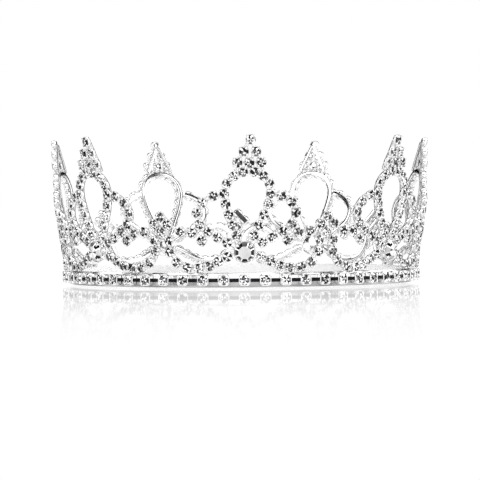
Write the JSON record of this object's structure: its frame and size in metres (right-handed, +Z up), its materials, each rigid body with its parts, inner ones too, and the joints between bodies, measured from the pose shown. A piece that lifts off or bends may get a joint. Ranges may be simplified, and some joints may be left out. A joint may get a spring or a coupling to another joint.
{
  "type": "crown",
  "caption": "Full-round party crown: arch panels of claw-set clear stones on flat silver wire, each with a teardrop loop, petals and scrolls, on a flat band ringed with stones.",
  "frame": {"origin": "centre of the round band, at its lower edge, which stands on a table or the head", "axes": "+Z up along the crown's axis; the front panel's centre line is at -Y and +X is to the right when it is seen from the front"},
  "size_m": [0.1524, 0.1517, 0.0575],
  "materials": {
    "silver_plate": "bright silver plating, polished",
    "dark_bar": "polished black-plated link bars",
    "rhinestone": "clear foil-backed faceted glass"
  },
  "bodies": {
    "root": {"base_band": "silver_plate", "front_loop_wire": "silver_plate", "front_petal_wires": "silver_plate", "front_scroll_wires": "silver_plate", "front_cups": "silver_plate", "front_center_setting": "silver_plate", "front_stones": "rhinestone", "front_center_stone": "rhinestone", "front_left_loop_wire": "silver_plate", "front_left_petal_wires": "silver_plate", "front_left_scroll_wires": "silver_plate", "front_left_cups": "silver_plate", "front_left_center_setting": "silver_plate", "front_left_stones": "rhinestone", "front_left_center_stone": "rhinestone", "left_loop_wire": "silver_plate", "left_petal_wires": "silver_plate", "left_scroll_wires": "silver_plate", "left_cups": "silver_plate", "left_center_setting": "silver_plate", "left_stones": "rhinestone", "left_center_stone": "rhinestone", "back_left_loop_wire": "silver_plate", "back_left_petal_wires": "silver_plate", "back_left_scroll_wires": "silver_plate", "back_left_cups": "silver_plate", "back_left_center_setting": "silver_plate", "back_left_stones": "rhinestone", "back_left_center_stone": "rhinestone", "back_right_loop_wire": "silver_plate", "back_right_petal_wires": "silver_plate", "back_right_scroll_wires": "silver_plate", "back_right_cups": "silver_plate", "back_right_center_setting": "silver_plate", "back_right_stones": "rhinestone", "back_right_center_stone": "rhinestone", "right_loop_wire": "silver_plate", "right_petal_wires": "silver_plate", "right_scroll_wires": "silver_plate", "right_cups": "silver_plate", "right_center_setting": "silver_plate", "right_stones": "rhinestone", "right_center_stone": "rhinestone", "front_right_loop_wire": "silver_plate", "front_right_petal_wires": "silver_plate", "front_right_scroll_wires": "silver_plate", "front_right_cups": "silver_plate", "front_right_center_setting": "silver_plate", "front_right_stones": "rhinestone", "front_right_center_stone": "rhinestone", "finial_wires": "silver_plate", "finial_cups": "silver_plate", "joint_wires": "silver_plate", "joint_cups": "silver_plate", "base_chain_cups": "silver_plate", "finial_stones": "rhinestone", "joint_stones": "rhinestone", "base_chain_stones": "rhinestone", "base_chain_bars": "dark_bar"}
  },
  "joints": []
}
